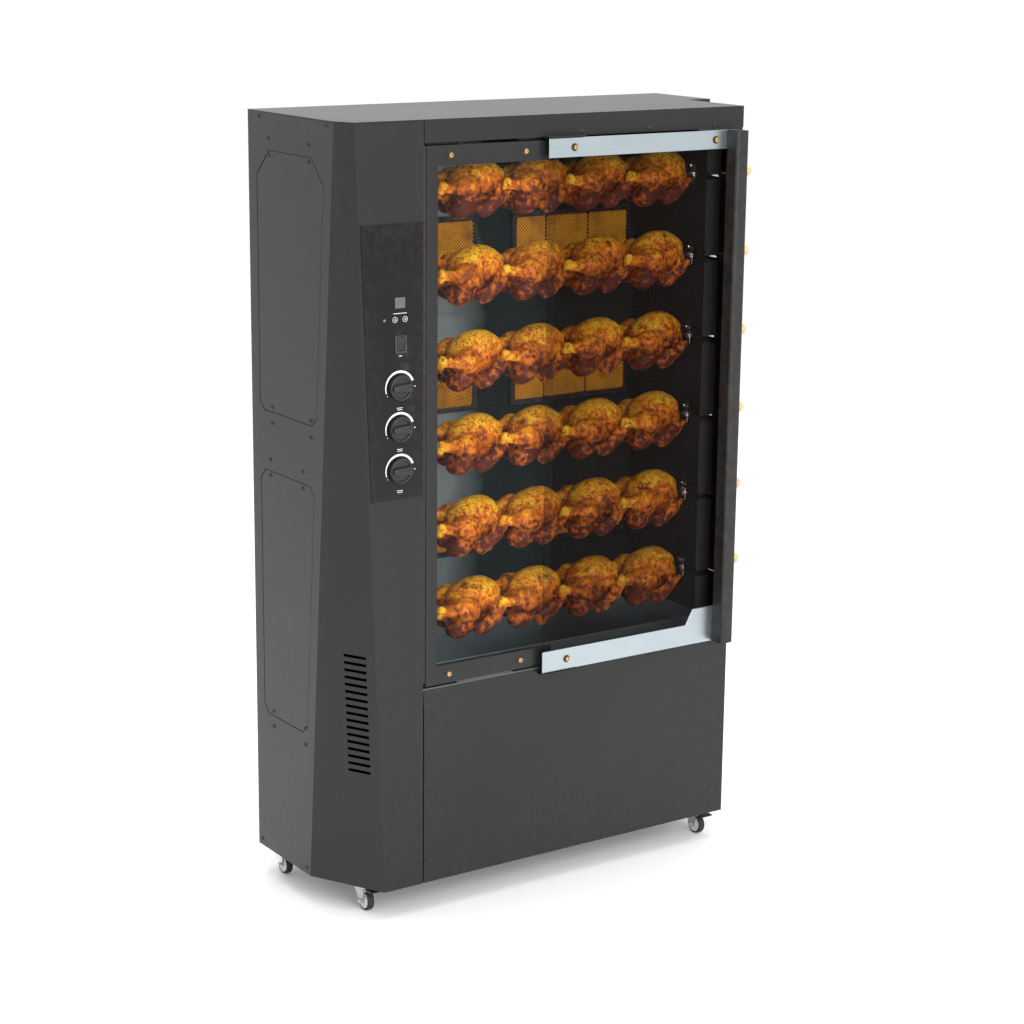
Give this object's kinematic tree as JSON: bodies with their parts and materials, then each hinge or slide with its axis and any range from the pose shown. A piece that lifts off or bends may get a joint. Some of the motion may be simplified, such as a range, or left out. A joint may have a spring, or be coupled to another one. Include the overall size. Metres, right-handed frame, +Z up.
{
  "type": "rotisserie oven",
  "caption": "Floor-standing gas rotisserie oven with driven horizontal spits behind two sliding glass doors, a control column and swivel casters.",
  "frame": {"origin": "on the floor under the middle of the whole oven's box, casters, handle, spit grips and gas inlet included", "axes": "+Z up, the doors face -Y, the control column is at -X"},
  "size_m": [1.215, 0.52, 1.85],
  "materials": {
    "casing_paint": "fine textured dark grey powder coat",
    "control_black": "satin printed front film on sheet",
    "stainless": "fine brushed stainless",
    "chamber_steel": "heat-dulled stainless",
    "dark_steel": "oiled dark steel",
    "burner_ceramic": "glowing perforated ceramic in a dark heat-browned frame",
    "tinted_glass": "toughened tinted glass",
    "clear_glass": "toughened clear glass",
    "black_plastic": "moulded heat-proof plastic",
    "handle_paint": "satin dark grey powder coat",
    "brass": "turned brass",
    "chrome": "bright chrome",
    "turned_wood": "turned pale beech",
    "roasted_skin": "glossy roasted skin",
    "zinc": "bright zinc plate",
    "wheel_rubber": "black rubber tread on a pale hub"
  },
  "bodies": {
    "root": {"base_tray": "casing_paint", "roof_cap": "casing_paint", "column_shell": "casing_paint", "upper_access_panel": "casing_paint", "lower_access_panel": "casing_paint", "lower_front_panel": "casing_paint", "right_side_panel": "casing_paint", "back_panel": "casing_paint", "chamber_left_wall": "chamber_steel", "chamber_right_wall": "chamber_steel", "chamber_liner": "chamber_steel", "lower_door_track": "chamber_steel", "drip_tray": "stainless", "burner_row_top": "burner_ceramic", "burner_row_middle": "burner_ceramic", "burner_row_bottom": "burner_ceramic", "gas_manifold": "brass", "gear_motor": "dark_steel", "drive_chain": "dark_steel", "control_panel": "control_black"},
    "left_door": {"left_door_frame": "casing_paint", "left_door_glass": "clear_glass"},
    "right_door": {"right_door_top_rail": "stainless", "right_door_bottom_rail": "stainless", "right_door_glass": "tinted_glass", "right_door_handle": "handle_paint"},
    "power_rocker": {"power_rocker": "black_plastic"},
    "up_key": {"up_key": "black_plastic"},
    "down_key": {"down_key": "black_plastic"},
    "spit_1": {"spit_1": "chrome", "spit_drive_1": "dark_steel", "chicken_row_1": "roasted_skin"},
    "spit_2": {"spit_2": "chrome", "spit_drive_2": "dark_steel", "chicken_row_2": "roasted_skin"},
    "spit_3": {"spit_3": "chrome", "spit_drive_3": "dark_steel", "chicken_row_3": "roasted_skin"},
    "spit_4": {"spit_4": "chrome", "spit_drive_4": "dark_steel", "chicken_row_4": "roasted_skin"},
    "spit_5": {"spit_5": "chrome", "spit_drive_5": "dark_steel", "chicken_row_5": "roasted_skin"},
    "spit_6": {"spit_6": "chrome", "spit_drive_6": "dark_steel", "chicken_row_6": "roasted_skin"},
    "gas_knob_top": {"gas_knob_top": "black_plastic"},
    "gas_knob_middle": {"gas_knob_middle": "black_plastic"},
    "gas_knob_bottom": {"gas_knob_bottom": "black_plastic"},
    "caster_front_left_swivel": {"caster_front_left_fork": "zinc"},
    "caster_front_left_wheel": {"caster_front_left_wheel": "wheel_rubber"},
    "caster_front_left_brake": {"caster_front_left_brake": "black_plastic"},
    "caster_front_right_swivel": {"caster_front_right_fork": "zinc"},
    "caster_front_right_wheel": {"caster_front_right_wheel": "wheel_rubber"},
    "caster_front_right_brake": {"caster_front_right_brake": "black_plastic"},
    "caster_rear_left_swivel": {"caster_rear_left_fork": "zinc"},
    "caster_rear_left_wheel": {"caster_rear_left_wheel": "wheel_rubber"},
    "caster_rear_right_swivel": {"caster_rear_right_fork": "zinc"},
    "caster_rear_right_wheel": {"caster_rear_right_wheel": "wheel_rubber"}
  },
  "joints": [
    {"name": "left_door_slide", "type": "slide", "parent": "root", "child": "left_door", "axis": [1, 0, 0], "range_m": [0, 0.49]},
    {"name": "right_door_slide", "type": "slide", "parent": "root", "child": "right_door", "axis": [-1, 0, 0], "range_m": [0, 0.31]},
    {"name": "spit_1_turn", "type": "hinge", "parent": "root", "child": "spit_1", "pos_m": [-0.3915, -0.092, 1.682], "axis": [1, 0, 0], "continuous": true},
    {"name": "spit_2_turn", "type": "hinge", "parent": "root", "child": "spit_2", "pos_m": [-0.3915, -0.092, 1.485], "axis": [1, 0, 0], "continuous": true},
    {"name": "spit_3_turn", "type": "hinge", "parent": "root", "child": "spit_3", "pos_m": [-0.3915, -0.092, 1.288], "axis": [1, 0, 0], "continuous": true},
    {"name": "spit_4_turn", "type": "hinge", "parent": "root", "child": "spit_4", "pos_m": [-0.3915, -0.092, 1.091], "axis": [1, 0, 0], "continuous": true},
    {"name": "spit_5_turn", "type": "hinge", "parent": "root", "child": "spit_5", "pos_m": [-0.3915, -0.092, 0.894], "axis": [1, 0, 0], "continuous": true},
    {"name": "spit_6_turn", "type": "hinge", "parent": "root", "child": "spit_6", "pos_m": [-0.3915, -0.092, 0.697], "axis": [1, 0, 0], "continuous": true},
    {"name": "gas_knob_top_turn", "type": "hinge", "parent": "root", "child": "gas_knob_top", "pos_m": [-0.4705, -0.212, 1.263], "axis": [0, -1, 0], "range_deg": [0, 210]},
    {"name": "gas_knob_middle_turn", "type": "hinge", "parent": "root", "child": "gas_knob_middle", "pos_m": [-0.4705, -0.212, 1.169], "axis": [0, -1, 0], "range_deg": [0, 210]},
    {"name": "gas_knob_bottom_turn", "type": "hinge", "parent": "root", "child": "gas_knob_bottom", "pos_m": [-0.4705, -0.212, 1.074], "axis": [0, -1, 0], "range_deg": [0, 210]},
    {"name": "power_rocker_tilt", "type": "hinge", "parent": "root", "child": "power_rocker", "pos_m": [-0.4685, -0.2, 1.361], "axis": [1, 0, 0], "range_deg": [0, 16]},
    {"name": "up_key_press", "type": "slide", "parent": "root", "child": "up_key", "axis": [0, 1, 0], "range_m": [0, 0.0008], "stiffness_N_per_m": 600},
    {"name": "down_key_press", "type": "slide", "parent": "root", "child": "down_key", "axis": [0, 1, 0], "range_m": [0, 0.0008], "stiffness_N_per_m": 600},
    {"name": "caster_front_left_swivel", "type": "hinge", "parent": "root", "child": "caster_front_left_swivel", "pos_m": [-0.5135, -0.1, 0.066], "axis": [0, 0, 1], "continuous": true},
    {"name": "caster_front_left_roll", "type": "hinge", "parent": "caster_front_left_swivel", "child": "caster_front_left_wheel", "pos_m": [-0.5135, -0.12, 0.025], "axis": [1, 0, 0], "continuous": true},
    {"name": "caster_front_left_brake_press", "type": "hinge", "parent": "caster_front_left_swivel", "child": "caster_front_left_brake", "pos_m": [-0.5135, -0.132, 0.055], "axis": [1, 0, 0], "range_deg": [0, 12]},
    {"name": "caster_front_right_swivel", "type": "hinge", "parent": "root", "child": "caster_front_right_swivel", "pos_m": [0.4525, -0.13, 0.066], "axis": [0, 0, 1], "continuous": true},
    {"name": "caster_front_right_roll", "type": "hinge", "parent": "caster_front_right_swivel", "child": "caster_front_right_wheel", "pos_m": [0.4525, -0.15, 0.025], "axis": [1, 0, 0], "continuous": true},
    {"name": "caster_front_right_brake_press", "type": "hinge", "parent": "caster_front_right_swivel", "child": "caster_front_right_brake", "pos_m": [0.4525, -0.162, 0.055], "axis": [1, 0, 0], "range_deg": [0, 12]},
    {"name": "caster_rear_left_swivel", "type": "hinge", "parent": "root", "child": "caster_rear_left_swivel", "pos_m": [-0.5655, 0.2, 0.066], "axis": [0, 0, 1], "continuous": true},
    {"name": "caster_rear_left_roll", "type": "hinge", "parent": "caster_rear_left_swivel", "child": "caster_rear_left_wheel", "pos_m": [-0.5655, 0.18, 0.025], "axis": [1, 0, 0], "continuous": true},
    {"name": "caster_rear_right_swivel", "type": "hinge", "parent": "root", "child": "caster_rear_right_swivel", "pos_m": [0.4525, 0.2, 0.066], "axis": [0, 0, 1], "continuous": true},
    {"name": "caster_rear_right_roll", "type": "hinge", "parent": "caster_rear_right_swivel", "child": "caster_rear_right_wheel", "pos_m": [0.4525, 0.18, 0.025], "axis": [1, 0, 0], "continuous": true}
  ],
  "couplings": [
    {"joint": "spit_1_turn", "follows": "spit_6_turn", "ratio": 1},
    {"joint": "spit_2_turn", "follows": "spit_6_turn", "ratio": 1},
    {"joint": "spit_3_turn", "follows": "spit_6_turn", "ratio": 1},
    {"joint": "spit_4_turn", "follows": "spit_6_turn", "ratio": 1},
    {"joint": "spit_5_turn", "follows": "spit_6_turn", "ratio": 1}
  ]
}
